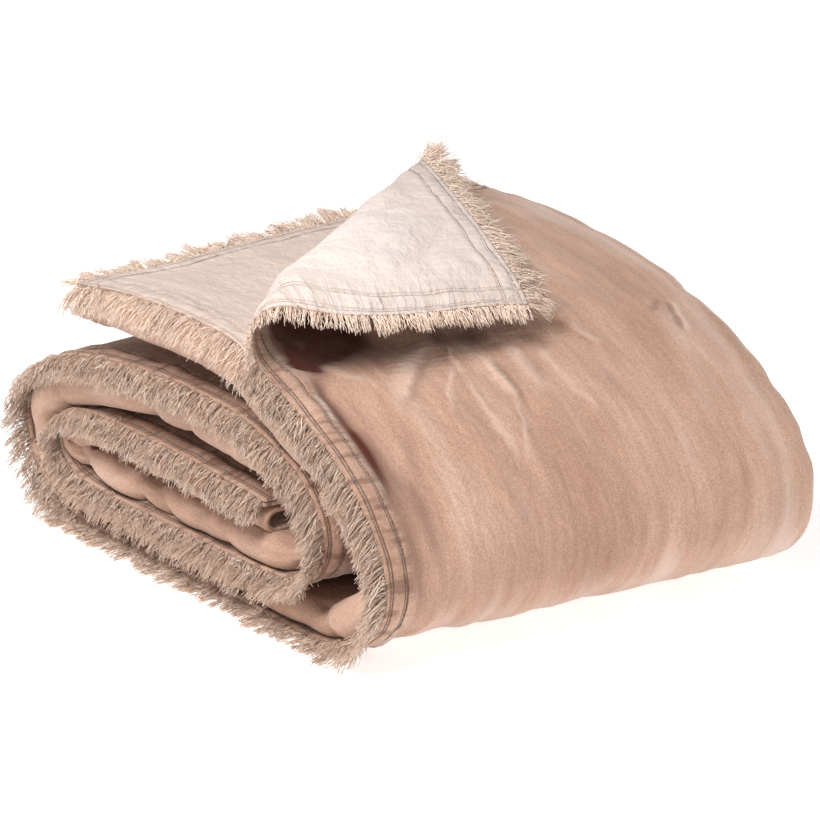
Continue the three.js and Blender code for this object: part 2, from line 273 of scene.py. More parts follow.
def facing(distance, part, share):
    """The way that the velvet faces."""
    low, high = np.maximum(share - 0.002, -0.01), np.minimum(share + 0.002, 1.01)
    if part != OUTER:
        low = np.maximum(low, 0)
    if part != FLAP:
        high = np.minimum(high, 1)
    wide = cloth(distance, part, high) - cloth(distance, part, low)
    at = np.minimum(distance, LENGTH - 1)
    long = cloth(at + 0.5, part, share) - cloth(at - 0.5, part, share)
    return -unit(np.cross(wide, long))


def inset(distance, part, share):
    """How far a place is from the nearest sewn edge of the cloth."""
    ends = np.minimum(distance, LENGTH - distance)
    if part in (OUTER, FLAP):
        return np.minimum(ends, lerp(ACROSS[part][2], ACROSS[part][3], share) * STRIP_WIDTH)
    return ends


def half_thickness(distance, part, share):
    full = (pitch_at(distance) - LAYER_GAP) / 2
    return lerp(HEM_HALF, full, smooth((inset(distance, part, share) - HEM_FLAT) / HEM_RAMP))


def waves(u, v, length, seed, count=9, stretch=1.0):
    """Soft unevenness: a sum of slow waves of about one length, each in its own direction."""
    rng = np.random.default_rng(seed)
    total = np.zeros(np.broadcast(u, v).shape)
    for _ in range(count):
        turn = rng.uniform(0, math.pi)
        size = length * rng.uniform(0.6, 1.7)
        phase = rng.uniform(0, 2 * math.pi)
        total += np.sin((u * math.cos(turn) + v * math.sin(turn) * stretch) * 2 * math.pi / size + phase)
    return total / math.sqrt(count)


def layered(distance, wide, table):
    """Waves drawn out along the roll. Columns of the table: height, squeeze, length, seed, stretch."""
    return sum(
        high * waves(distance * squeeze, wide, length, seed, 12, stretch)
        for high, squeeze, length, seed, stretch in table
    )


def trough(u, v, start, end, width, depth):
    """A soft crease from one place to another on the flat cloth, deepest at its middle."""
    a, b = np.array(start, float), np.array(end, float)
    axis = b - a
    t = ((u - a[0]) * axis[0] + (v - a[1]) * axis[1]) / (axis @ axis)
    near = np.clip(t, 0, 1)
    off = np.hypot(u - a[0] - near * axis[0], v - a[1] - near * axis[1])
    swell = np.sin(np.clip(t * 0.9 + 0.05, 0, 1) * math.pi) ** 0.6
    return -depth * swell * np.exp(-(off / width) ** 2)


# Waves of the height of all parts, of the hems, of the velvet's skin and of the inner fold's puff
SWELL = 0.5
SWELL_LENGTH = 60
SWELL_SEED = 11
RIPPLE_LENGTH = 38
RIPPLE_SEED = 5
SKIN = [(0.65, 0.45, 55, 21, 1.4), (0.3, 0.3, 26, 22, 1.0)]
PUFF_WAVE = 1.6
PUFF_LENGTH = 130
PUFF_SEED = 77

# Waves of how dark the pile is, on the other parts and on the outer one
MOTTLE = 0.12
MOTTLE_LENGTH = 70
MOTTLE_SEED = 31
OUTER_MOTTLE = [(0.09, 0.35, 60, 61, 1.0), (0.09, 0.2, 24, 62, 1.0)]

# Creases of the velvet beside and below the turned corner.
# Columns: start and end (distance along, place across), width, depth (below zero is a ridge)
CREASES = [
    ((290, 20), (300, 150), 25, 14.0),
    ((306, 150), (310, 250), 20, 5.0),
    ((286, 36), (294, 78), 10, -6.0),
    ((272, 118), (306, 50), 7, 6.0),
    ((308, 26), (328, 52), 7, 5.0),
    ((342, 34), (470, 30), 7, 7.0),
    ((346, 52), (400, 60), 10, 2.6),
    ((314, 160), (350, 110), 9, -4.6),
    ((330, 158), (370, 100), 8, 2.8),
    ((318, 174), (354, 166), 8, -2.8),
    ((352, 166), (404, 128), 8, -2.4),
    ((338, 198), (380, 207), 8, -2.8),
    ((380, 207), (456, 168), 9, -2.0),
    ((346, 184), (400, 186), 9, 1.8),
    ((400, 174), (454, 162), 8, -1.6),
    ((330, 222), (500, 190), 10, 1.6),
    ((338, 240), (440, 226), 9, -1.8),
    ((336, 262), (470, 258), 10, 1.6),
    ((344, 284), (450, 296), 10, -1.6),
    ((300, 430), (352, 413), 7, 2.0),
    ((302, 424), (322, 398), 7, 1.4),
    ((400, 40), (520, 60), 12, 3.4),
    ((470, 30), (600, 44), 9, 3.4),
    ((352, 18), (362, 50), 6, 2.8),
    ((384, 16), (398, 52), 6, 2.8),
    ((424, 16), (436, 48), 6, 2.8),
    ((462, 16), (478, 54), 7, 2.8),
    ((514, 16), (524, 50), 7, 2.8),
    ((560, 16), (574, 46), 7, 2.6),
    ((560, 60), (640, 140), 12, 2.4),
    ((590, 150), (650, 260), 12, -2.0),
]

# Creases no deeper than this get no painted shade or painted highlight on the pile
FAINT_CREASE = 2.9

# Crinkles of the turned corner, nearest its tip. Columns as above
CRINKLES = [
    ((34, 150), (112, 84), 9, 4.4),
    ((30, 118), (92, 54), 9, -4.0),
    ((40, 196), (130, 150), 10, -4.2),
    ((34, 222), (96, 186), 9, 3.8),
    ((30, 262), (84, 240), 9, -3.2),
    ((28, 300), (70, 290), 9, 3.4),
    ((110, 64), (158, 34), 9, 3.6),
    ((160, 64), (206, 36), 9, -3.0),
    ((66, 60), (34, 38), 9, 4.2),
    ((150, 160), (196, 118), 14, -3.0),
    ((60, 330), (116, 236), 16, 3.4),
    ((210, 70), (250, 50), 10, 3.0),
]

# Pleats of the inner fold, gathered where the roll turns: distance along, width, depth, slant
pleat_rng = np.random.default_rng(44)
PLEATS = [
    (spot, pleat_rng.uniform(6.0, 9.0), pleat_rng.uniform(0.15, 1) ** 1.6 * 12.0, pleat_rng.normal(0, 30))
    for spot in np.cumsum(pleat_rng.gamma(2.0, 30.0, 60)) + 150
]
# A pleat is a narrow core on a wider shoulder, and no place is deeper than the most
PLEAT_CORE = 0.65
PLEAT_SHOULDER = 3.2
PLEAT_MOST = 11
# How deep they go, at distances along the roll
TIGHTNESS = (
    [0, 250, 520, 640, 760, 1000, 1100, 1250, 1480, 1650, 1760, 1960, 2100, 2354],
    [0.5, 0.5, 1.1, 1.1, 0.6, 0.6, 1.1, 0.7, 0.75, 1.2, 0.8, 1.2, 0.8, 0.6],
)
# How far the inner fold puffs, where that starts along the roll, and its reach across from the fold
PUFF = 2.8
PUFF_FROM = 200
PUFF_FADE = 120
PUFF_FLAT = 15
PUFF_REACH = 30

# Dents of the outer fold: distance along, width, depth
FOLD_PLEATS = [
    (spot, pleat_rng.uniform(8.0, 16.0), pleat_rng.uniform(0.1, 1) ** 1.5 * 3.4)
    for spot in np.cumsum(pleat_rng.gamma(2.0, 24.0, 70)) + 60
]
DENT_MOST = 4.0
DENT_REACH = 26

# Across the hem: how deep and wide a groove is, and the puffs between and behind the grooves.
# Columns of the puffs: height, distance from the edge, width
GROOVE_DEPTH = 1.5
GROOVE_WIDTH = 2.2
HEM_PUFFS = [(1.3, 13.5, 4.5), (1.5, 30, 7)]


def hem_shape(edge):
    """Height of the sewn hem: drawn in along its seams, puffed between them."""
    seams = sum(-GROOVE_DEPTH * np.exp(-((edge - line) / GROOVE_WIDTH) ** 2) for line in GROOVES)
    puffs = sum(high * np.exp(-((edge - line) / width) ** 2) for high, line, width in HEM_PUFFS)
    return seams + puffs


def place_across(distance, part, share):
    """Millimetres from the fringed edge to a place, a bend counting as its own edge."""
    row = ACROSS[part]
    if row[0] == "straight":
        return lerp(row[2], row[3], share) * STRIP_WIDTH
    return 0 * distance + (row[3] > 0) * STRIP_WIDTH


def relief(distance, part, share, outside):
    """How far both faces shift outwards from their smooth place, and how far each is drawn in."""
    wide = place_across(distance, part, share)
    edge = inset(distance, part, share)
    shift = SWELL * waves(distance, wide, SWELL_LENGTH, SWELL_SEED + part) * smooth(edge / 40)
    if part in (OUTER, FLAP):
        at_hem = (1 - smooth((edge - 20) / 30)) * smooth(edge / 8)
        shift += waves(distance, wide, RIPPLE_LENGTH, RIPPLE_SEED) * at_hem
    if part == OUTER:
        shift += layered(distance, wide, SKIN) * smooth(edge / 60)
        for start, end, width, depth in CREASES + CRINKLES:
            shift += trough(distance, wide, start, end, width, depth)
    if part in (OUTER, OUTER_FOLD, UNDER) and outside:
        close = 1 if part == OUTER_FOLD else np.exp(-(STRIP_WIDTH - wide) / DENT_REACH)
        dents = sum(-deep * np.exp(-((distance - spot) / width) ** 2) for spot, width, deep in FOLD_PLEATS)
        shift += np.maximum(dents, -DENT_MOST) * close
    if part in (INNER, MIDLAYER, UNDER) and outside:
        close = 1 if part == INNER else np.exp(-np.maximum(wide - PUFF_FLAT, 0) / PUFF_REACH)
        puff = PUFF_WAVE * waves(distance, 40 * share, PUFF_LENGTH, PUFF_SEED, 5)
        for spot, width, deep, slant in PLEATS:
            off = np.abs(distance - spot - slant * (share - 0.5) * (part == INNER)) / width
            shoulder = (1 - PLEAT_CORE) * np.exp(-(off / PLEAT_SHOULDER) ** 2)
            puff -= deep * (PLEAT_CORE * np.exp(-off ** 2) + shoulder)
        puff = np.maximum(puff, -PLEAT_MOST) * np.interp(distance, *TIGHTNESS)
        shift += (PUFF + puff) * close * smooth((distance - PUFF_FROM) / PUFF_FADE)
    return shift, hem_shape(edge)


def freedom(distance, part, share):
    """One on the turned corner, where both faces lie open, and none where the layers touch."""
    if part != OUTER:
        return 0.0 * distance
    _, _, past, _ = past_bend(distance, share)
    return smooth(past / 60)


# How far the reverse may move in and out between the layers, and how much more on the turned corner
REVERSE_IN = 1.0
REVERSE_OUT = 1.5
REVERSE_FREE = 2.5
THINNEST = 1.6


def faces_of(distance, part, share):
    """Heights of the velvet and the reverse off the cloth's middle."""
    half = half_thickness(distance, part, share)
    shift, drawn = relief(distance, part, share, True)
    below, _ = relief(distance, part, share, False)
    free = REVERSE_FREE * freedom(distance, part, share)
    reverse = half + drawn * 0.6 - np.clip(below, -REVERSE_IN - free, REVERSE_OUT + free)
    return np.maximum(half + drawn + shift, THINNEST - reverse), -reverse


# Painted shade of the pile in the hollow under the turned corner and beside the hem, and painted sheen low
# on the front and by the folded side
HOLLOW_SHADE = 0.85
HEM_SHADE = 0.26
FRONT_SHEEN = 0.5
SIDE_SHEEN = 0.25


def shade_of(distance, part, share):
    """Random mottle of the pile; on the outer part also painted shade above zero in hollows and troughs, and
    painted highlight and sheen below zero on ridges, low on the front and by the folded side.
    """
    wide = share * STRIP_WIDTH
    if part != OUTER:
        return MOTTLE * waves(distance, wide, MOTTLE_LENGTH, MOTTLE_SEED + part)
    dark = layered(distance, wide, OUTER_MOTTLE)
    # Painted shade in the troughs of the deeper creases, painted highlight on their ridges
    for start, end, width, depth in CREASES:
        if abs(depth) > FAINT_CREASE:
            dark -= trough(distance, wide, start, end, width * 0.9, np.clip(depth / 7, -0.6, 0.65))
    _, _, past, _ = past_bend(distance, share)
    # Painted shade in the hollow under the turned corner
    hollow = smooth((past + 62) / 40) * smooth((185 - wide) / 110) * (0.4 + 0.6 * smooth((wide - 24) / 26))
    below_corner = smooth((distance - 320) / 40) * smooth((620 - distance) / 160)
    # Painted shade beside the hem, below the corner
    beside_hem = np.exp(-((wide - 35) / 8) ** 2) * below_corner
    # Painted sheen low on the front and by the folded side
    front = smooth((distance - 500) / 130) * smooth((760 - distance) / 80)
    painted_sheen = FRONT_SHEEN * front + SIDE_SHEEN * smooth((wide - 380) / 70)
    return dark + HOLLOW_SHADE * hollow + HEM_SHADE * beside_hem - painted_sheen


def corner_highlight_of(distance, part, share):
    """Painted highlight of the turned corner's reverse, strongest at its middle, below zero."""
    near = ((distance - 175) / 105) ** 2 + ((share * STRIP_WIDTH - 150) / 120) ** 2
    return -freedom(distance, part, share) * (0.22 + 0.38 * np.exp(-near))


# Where the visible cloth is cut into facets along the roll, and how many columns the outer part
# has on the turned corner, round its bend and beyond it
ROWS = np.concatenate([
    HEM_CUTS, np.arange(34, 296, 7.0), np.arange(300, 470, 5.0), np.arange(476, 640, 7.0),
    np.arange(640, 1140, 9.0), np.linspace(1140, LENGTH, 134),
])
TURNED_COLUMNS = 30
BEND_COLUMNS = 14
FLAT_COLUMNS = 48
# The columns beyond the bend are closer near it
FLAT_POWER = 1.25
# The bend's line is never nearer to the edge than this, on the corner and after it, nor further
BEND_LEAST = 0.16
BEND_LEAST_AFTER = 0.6
BEND_MOST = 0.985


def outer_shares(distance):
    """Columns of the outer part, which follow the bend of the turned corner."""
    fade = fade_at(distance)
    drawn = (CORNER_PAST_END / BEND_ON_SIDE + CORNER_PAST_SIDE / BEND_ON_END) * fade
    rate = STRIP_WIDTH / BEND_ON_END + drawn
    least = lerp(BEND_LEAST, BEND_LEAST_AFTER, smooth((distance - 300) / 90))
    bend = np.clip((1 - distance / BEND_ON_SIDE + drawn) / rate, least, BEND_MOST)
    radius = lerp(BEND_RADIUS_SIDE, BEND_RADIUS_END, bend)
    full = math.pi * radius * SPAN / (BEND_ON_SIDE * BEND_ON_END * rate)
    bow = np.minimum(full, bend * 0.5)
    hem = np.minimum(HEM_CUTS[-1] / STRIP_WIDTH, 0.5 * (bend - bow))
    stops = [hem, bend - bow, bend, 0 * bend + 1]
    columns = [hem * cut / HEM_CUTS[-1] for cut in HEM_CUTS[:-1]]
    for k, (count, power) in enumerate(((TURNED_COLUMNS, 1), (BEND_COLUMNS, 1), (FLAT_COLUMNS, FLAT_POWER))):
        columns += [lerp(stops[k], stops[k + 1], (i / count) ** power) for i in range(count)]
    return np.stack(columns + [stops[-1]], 1)


def share_columns():
    """(part, shares) for each run of columns, the shares over rows and columns."""
    flat = np.ones((len(ROWS), 1))
    return [
        (OUTER, outer_shares(ROWS)),
        (OUTER_FOLD, flat * np.linspace(0, 1, 11)[1:]),
        (UNDER, flat * (1 - np.linspace(1, 0, 8) ** 1.8)[1:]),
        (INNER, flat * np.linspace(0, 1, 15)[1:]),
        (MIDLAYER, flat * (np.linspace(0, 1, 10) ** 1.8)[1:]),
        (DEEP_FOLD, flat * np.linspace(0, 1, 5)[1:]),
        (FLAP, flat * np.concatenate([np.linspace(0, 0.925, 13)[1:], 1 - HEM_CUTS[::-1] / STRIP_WIDTH])),
    ]


# Fine creases of the pile. Columns: start and end (distance along, place across), width, height
FINE_CREASES = [
    ((308, 166), (390, 82), 10, 1.0),
    ((314, 166), (394, 90), 5, -0.8),
    ((316, 177), (368, 167), 4, 0.9),
    ((350, 170), (460, 164), 4, 0.75),
    ((344, 168), (404, 127), 3.5, 0.75),
    ((332, 200), (404, 200), 5, 1.0),
    ((344, 207), (406, 209), 4, -0.75),
    ((390, 203), (458, 172), 3.5, 0.7),
    ((316, 233), (402, 236), 6, 0.6),
    ((324, 245), (384, 245), 5, -0.5),
    ((326, 260), (432, 268), 5, 0.55),
    ((310, 310), (350, 320), 3.5, 0.6),
    ((394, 80), (488, 56), 7, -0.5),
    ((318, 50), (356, 84), 5, 0.7),
    ((298, 428), (352, 412), 3.5, -1.0),
    ((300, 435), (354, 419), 3.5, 0.9),
    ((298, 425), (322, 398), 3.5, -0.8),
]
# Where the creases of the velvet fan out from, on the flat cloth
FAN_CENTRE = np.array([296.0, -10.0])


def in_scene(name, data):
    obj = bpy.data.objects.new(name, data)
    bpy.context.scene.collection.objects.link(obj)
    return obj


def make(name, points, faces):
    """A smooth mesh object from points in millimetres."""
    mesh = bpy.data.meshes.new(name)
    mesh.from_pydata((points * MM).tolist(), [], faces)
    mesh.polygons.foreach_set("use_smooth", [True] * len(mesh.polygons))
    obj = in_scene(name, mesh)
    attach(obj, "root")
    return obj


def write_uv(obj, name, values):
    """A UV map from one pair of numbers for each vertex."""
    loops = np.zeros(len(obj.data.loops), int)
    obj.data.loops.foreach_get("vertex_index", loops)
    obj.data.uv_layers.new(name=name).data.foreach_set("uv", values[loops].ravel())


def grid_faces(index, flip):
    a, b, c, d = index[:-1, :-1], index[1:, :-1], index[1:, 1:], index[:-1, 1:]
    return np.stack([a, b, c, d] if not flip else [a, d, c, b], -1).reshape(-1, 4)


def comforter():
    """The cloth: the velvet's grid, the reverse's grid below it, and the rims between them."""
    columns = []
    for part, shares in share_columns():
        distance = np.broadcast_to(ROWS[:, None], shares.shape).astype(float)
        middle, out = cloth(distance, part, shares), facing(distance, part, shares)
        above, below = faces_of(distance, part, shares)
        part_width = STRIP_WIDTH if ACROSS[part][0] == "straight" else BEND_WIDTH
        columns.append((
            middle + out * above[..., None],
            middle + out * below[..., None],
            np.stack([distance, ACROSS_FROM[part] + shares * part_width], -1),
            shade_of(distance, part, shares),
            corner_highlight_of(distance, part, shares),
        ))
    top, low, flat, shade, corner_highlight = (np.concatenate(column, 1) for column in zip(*columns))
    points = np.concatenate([top.reshape(-1, 3), low.reshape(-1, 3)]) - MIDDLE
    points[:, 2] = np.maximum(points[:, 2], 0)
    index = np.arange(shade.size).reshape(shade.shape)
    under = index + shade.size
    rims = np.concatenate([
        np.stack([index[:-1, 0], under[:-1, 0], under[1:, 0], index[1:, 0]], -1),
        np.stack([index[:-1, -1], index[1:, -1], under[1:, -1], under[:-1, -1]], -1),
        np.stack([index[0, :-1], index[0, 1:], under[0, 1:], under[0, :-1]], -1),
        np.stack([index[-1, :-1], under[-1, :-1], under[-1, 1:], index[-1, 1:]], -1),
    ])
    velvet_faces, reverse_faces = grid_faces(index, False), grid_faces(under, True)
    faces = np.concatenate([velvet_faces, rims, reverse_faces])
    obj = make("comforter_cloth", points, faces.tolist())
    slots = np.repeat([0, 1], [len(velvet_faces) + len(rims), len(reverse_faces)])
    obj.data.polygons.foreach_set("material_index", slots)
    write_uv(obj, "flat", np.concatenate([flat.reshape(-1, 2)] * 2) * MM)
    pull = (flat - FAN_CENTRE) * MM
    fan = np.stack([np.hypot(pull[..., 0], pull[..., 1]), np.arctan2(pull[..., 1], pull[..., 0])], -1)
    write_uv(obj, "fan", np.concatenate([fan.reshape(-1, 2)] * 2))
    # The shade attribute holds the velvet's mottle, painted shade and painted highlight, and the painted
    # highlight of the reverse
    dark = obj.data.attributes.new("shade", "FLOAT", "POINT")
    dark.data.foreach_set("value", np.concatenate([shade.ravel(), corner_highlight.ravel()]))
    return obj


# Fringe: strands of thread rooted in an edge, drawn together into locks
LOCK_WIDTH = 5.5
STRAND_STEPS = (0.22, 0.22, 0.2, 0.18, 0.18)
STRAND_RADII = (0.3, 0.5)
STRAND_TAPER = 0.7
ROOT_DEPTH = 1.5
ROOT_SPREAD = 0.55
# How far a strand wanders at each step, the share of stray strands and how much more they wander
WANDER = 0.19
STRAY_SHARE = 0.13
STRAY = 3.0
# How far strands lean along the edge: by lock, by stretch of the edge and by strand
LEANS = (0.10, 0.08, 0.05)
STRETCH = 30
# Angles below straight out at the root and at the tip, in degrees, and lengths
OUTER_CORNER_FALL = (-22, 26, 20)
OUTER_FALL = (8, 46, 31)
INNER_CORNER_FALL = (14, 60, 34)
INNER_FALL = (14, 58, 27)
END_FALL = (0, 24, 36)
FOLDED_END_FALL = (-16, 4, 27)
# Tones are counted along a strip of colour: plain ones below this number and ones with a painted highlight
# above it
HIGHLIGHT_FROM = 100.0
TONE_STEP = 0.731
TONE_SPAN = 89
TONE_ALONG = 0.13


def run_of(path):
    """Distance along a path of points."""
    return np.concatenate([[0], np.cumsum(np.linalg.norm(np.diff(path, axis=0), axis=1))])


def resample(values, run, at):
    return np.stack([np.interp(at, run, values[:, k]) for k in range(3)], -1)


def edge_frames(part, distance, share, long_edge):
    """Points of an edge with the ways out of it, along it and off its face."""
    here, face = cloth(distance, part, share), facing(distance, part, share)
    if long_edge:
        held = np.minimum(distance, LENGTH - 1)
        along = cloth(held + 0.5, part, share) - cloth(held, part, share)
        inside = cloth(distance, part, lerp(share, 0.5, 0.01))
    else:
        low = np.minimum(share, 0.995)
        along = cloth(distance, part, low + 0.003) - cloth(distance, part, low)
        inside = cloth(distance + 0.5, part, share)
    out = unit(np.cross(along, face))
    out = np.where(((inside - here) * out).sum(-1, keepdims=True) > 0, -out, out)
    return here, out, unit(np.cross(out, face)), face


def fringe(name, runs, seed, per_mm, long_edge, low=0.0):
    """Strands along an edge. Columns of its runs: part, distances, shares, fall at the root and
    at the tip, length, one for strands with a painted highlight."""
    rng = np.random.default_rng(seed)
    points, radii, tones = [], [], []
    for part, distance, share, first, last, length, highlit in runs:
        here, out, side, face = edge_frames(part, distance, share, long_edge)
        run = run_of(here)
        count = int(run[-1] * per_mm)
        if count < 2:
            continue
        at = np.sort(rng.uniform(0, run[-1], count))
        root, out, side, face = (resample(values, run, at) for values in (here, out, side, face))
        out, side, face = unit(out), unit(side), unit(face)
        cuts = np.cumsum(rng.uniform(0.5, 1.6, int(run[-1] / LOCK_WIDTH) + 4) * LOCK_WIDTH)
        which = np.searchsorted(cuts, at)
        centres = np.concatenate([[cuts[0] / 2], (cuts[1:] + cuts[:-1]) / 2])
        centre = centres[np.minimum(which, len(cuts) - 1)]
        per_lock = lambda spread: rng.normal(0, spread, len(cuts) + 1)[which]
        stretches = np.arange(0, run[-1] + 2 * STRETCH, STRETCH)
        broad = np.interp(at, stretches, rng.normal(0, 1, len(stretches)))
        up = np.clip(face[:, 2], 0, 1)
        fall_from = np.radians(first + 18 * up + per_lock(5) + 3 * broad)
        fall_to = np.radians(last + 30 * up + per_lock(9) + 6 * broad)
        reach = length * (1 + per_lock(0.06)) * rng.uniform(0.82, 1.05, count)
        stray = np.where(rng.uniform(0, 1, count) < STRAY_SHARE, STRAY, 1.0)[:, None]
        lean = per_lock(LEANS[0]) + LEANS[1] * broad + rng.normal(0, LEANS[2], count) * stray[:, 0]
        pull = rng.uniform(0.1, 0.75, count) * np.clip(centre - at, -5, 5) / reach
        spot = root - out * ROOT_DEPTH + face * rng.normal(0, ROOT_SPREAD, count)[:, None]
        spots = [spot]
        down = np.array([0, 0, -1.0])
        gone = 0.0
        for step in STRAND_STEPS:
            t = gone + step / 2
            fall = lerp(fall_from, fall_to, t ** 0.8)[:, None]
            way = out * np.cos(fall) + down * np.sin(fall) + side * (lean + pull * 1.6 * t)[:, None]
            way = unit(way + rng.normal(0, WANDER, (count, 3)) * stray + face * 0.10 * (1 - t))
            spot = spot + way * (reach * step)[:, None]
            spots.append(spot)
            gone += step
        line = np.stack(spots, 1) - MIDDLE
        floor_gap = low + 0.5 + rng.uniform(0, 2.6, count)[:, None] * (low == 0)
        line[..., 2] = np.maximum(line[..., 2], floor_gap)
        points.append(line)
        radii.append(rng.uniform(*STRAND_RADII, count))
        tones.append(np.full(count, HIGHLIGHT_FROM * highlit))
    return tubes(name, np.concatenate(points), np.concatenate(radii), np.concatenate(tones), STRAND_TAPER)


def tubes(name, line, thick, tones, taper):
    """Three-sided strands along lines of points, as one piece. Its UV map counts their tones."""
    count, steps = line.shape[:2]
    sides = 3
    way = unit(np.gradient(line, axis=1))
    up = np.where(np.abs(way[..., 2:]) > 0.9, [[1.0, 0, 0]], [[0, 0, 1.0]])
    a = unit(np.cross(way, up))
    b = np.cross(way, a)
    size = (thick[:, None] * np.linspace(1, taper, steps)[None])[..., None]
    turns = [2 * math.pi * k / sides for k in range(sides)]
    points = np.stack([line + size * (a * math.cos(turn) + b * math.sin(turn)) for turn in turns], 2)
    points = points.reshape(-1, 3)
    points[:, 2] = np.maximum(points[:, 2], 0.05)
    index = np.arange(count * steps * sides).reshape(count, steps, sides)
    faces = []
    for k in range(sides):
        n = (k + 1) % sides
        quads = np.stack([index[:, :-1, k], index[:, :-1, n], index[:, 1:, n], index[:, 1:, k]], -1)
        faces += quads.reshape(-1, 4).tolist()
    faces += index[:, 0, ::-1].tolist() + index[:, -1, :].tolist()
    obj = make(name, points, faces)
    across = np.repeat(np.arange(count) * TONE_STEP % TONE_SPAN + tones, steps * sides)
    along = np.tile(np.repeat(np.arange(steps), sides), count) * TONE_ALONG
    write_uv(obj, "strands", np.stack([across, along], 1))
    return obj


def end_runs():
    """The end edge, as runs of one part each."""
    runs = []
    for part in range(len(ACROSS)):
        share = np.linspace(0, 1, 160 if part == OUTER else 60)
        falls = END_FALL if part == OUTER else FOLDED_END_FALL
        # Every strand of the end edge gets the painted highlight
        runs.append((part, 0 * share, share, *falls, 1))
    return runs


def long_runs(part, share, corner_falls, falls):
    """A long edge, cut where the edge of the turned corner ends."""
    corner = np.arange(0, BEND_ON_SIDE - 14, 2.0)
    rest = np.arange(BEND_ON_SIDE - 14, LENGTH - 1, 3.0)
    return [
        # Strands by the turned corner get the painted highlight, the rest none
        (part, corner, np.full_like(corner, share), *corner_falls, 1),
        (part, rest, np.full_like(rest, share), *falls, 0),
    ]


# Stitches: their pitch and length, the radius of their thread, how deep their ends sink, and how
# far along the roll their rows go on the velvet, short of its end, and on the reverse
STITCH_PITCH = 3.5
STITCH_LENGTH = 2.5
STITCH_RADIUS = 0.22
STITCH_SINK = -0.3
VELVET_ROWS_TO = LENGTH - 30
REVERSE_ROWS_TO = 900


def stitches(part, distances, shares, outside):
    """A row of short stitches lying in a groove of one face of the cloth: lines, radii and tones."""
    middle, out = cloth(distances, part, shares), facing(distances, part, shares)
    height = faces_of(distances, part, shares)[0 if outside else 1]
    path = middle + out * height[:, None] - MIDDLE
    away = out * (1 if outside else -1)
    run = run_of(path)
    starts = np.arange(1, run[-1] - 4, STITCH_PITCH)
    steps = []
    for t, rise in ((0.0, STITCH_SINK), (0.3, STITCH_RADIUS), (0.7, STITCH_RADIUS), (1.0, STITCH_SINK)):
        at = starts + STITCH_LENGTH * t
        steps.append(resample(path, run, at) + resample(away, run, at) * rise)
    # The stitches on the reverse are painted paler than the same thread on the velvet: a painted highlight
    tone = 0 if outside else HIGHLIGHT_FROM
    return np.stack(steps, 1), np.full(len(starts), STITCH_RADIUS), np.full(len(starts), tone)


def all_stitches():
    """Two double rows along the long edges and the end, on the velvet and on the open reverse."""
    rows = []
    for offset in [groove + side for groove in GROOVES for side in (-SEAM_HALF, SEAM_HALF)]:
        share_in = offset / STRIP_WIDTH
        for part, outside in ((OUTER, True), (OUTER, False), (FLAP, False)):
            distance = np.arange(offset, VELVET_ROWS_TO if outside else REVERSE_ROWS_TO, 1.5)
            share = np.full_like(distance, share_in if part == OUTER else 1 - share_in)
            rows.append(stitches(part, distance, share, outside))
            ends = (share_in, 1) if part == OUTER else (0.02, 1 - share_in)
            share = np.linspace(*ends, 500)
            rows.append(stitches(part, np.full_like(share, offset), share, outside))
    lines, thick, tones = (np.concatenate(column) for column in zip(*rows))
    return tubes("hem_stitches", lines, thick, tones, 1.0)


# Materials. Colours are linear; stops are (place, colour)
PILE = [(0.3, (0.375, 0.222, 0.158)), (0.52, (0.465, 0.29, 0.214)), (0.7, (0.57, 0.385, 0.30))]
BRUSH_MARKS = [(0.3, (0.91, 0.90, 0.89)), (0.7, (1.08, 1.09, 1.09))]
GRAIN = [(0.3, (0.74, 0.72, 0.70)), (0.7, (1.22, 1.22, 1.22))]
# Painted shade of the pile with its random mottle, then its painted sheen and highlight
SHADE_AND_MOTTLE_TONES = [(0.6, (0.16, 0.088, 0.064)), (0.9, (0.06, 0.007, 0.003))]
HIGHLIGHT_AND_MOTTLE_PALE = (0.68, 0.57, 0.515)
# Painted highlight on crease ridges; painted shade in crease troughs, hem tucks and seam grooves
RIDGE_HIGHLIGHT = (0.70, 0.51, 0.415)
TROUGH_SHADE = (0.2, 0.105, 0.075)
VELVET_SEAM_SHADE = (0.13, 0.065, 0.045)
SHEEN_TINT = (1.0, 0.86, 0.78, 1)
REVERSE = [(0.3, (0.59, 0.466, 0.405)), (0.7, (0.665, 0.537, 0.472))]
SLUBS = [(0.35, (0.93, 0.92, 0.91)), (0.65, (1.05, 1.05, 1.05))]
# Painted highlight of the turned corner's reverse
CORNER_HIGHLIGHT = (0.90, 0.85, 0.83)
# Painted shade in the reverse's hem tucks and seam grooves
REVERSE_SEAM_SHADE = (0.42, 0.29, 0.22)
FRINGE_TONES = ((0.35, 0.20, 0.12), (0.96, 0.77, 0.64))
SEWING_TONES = ((0.28, 0.17, 0.11), (0.62, 0.47, 0.39))

# Scales of the patterns, for each metre, and how they are drawn out along the roll
BROAD_SCALE = 16
WRINKLE_SCALE = 60
WRINKLE_SQUEEZE = (0.3, 1.0, 1.0)
BRUSH_SCALE = 130
BRUSH_SQUEEZE = (0.12, 1.0, 1.0)
GRAIN_SCALE = 620
PILE_SCALE = 950
FAN_SQUEEZE = (5.0, 4.2, 1.0)
FAN_SCALE = 2.2
# Where the fan of creases begins and ends, from its centre in metres, and where in radians
FAN_START = (0.1, 0.2)
FAN_END = (0.2, 0.6)
FAN_ANGLES = (0.3, 0.65)
WEAVE_SCALE = 190
SLUB_SQUEEZE = (18.0, 260.0, 1.0)
REVERSE_BROAD_SCALE = 14
REVERSE_WRINKLE_SCALE = 34
GATHER_SCALE = 105
GATHER_SQUEEZE = 0.16
SWAY_SCALE = 45

# How far fine creases sway from side to side, and the width of the gathers and of a seam, in metres
SWAY = 0.018
GATHERS_FADE = (0.022, 0.034)
SEAM_FADE = (0.0002, 0.0009)
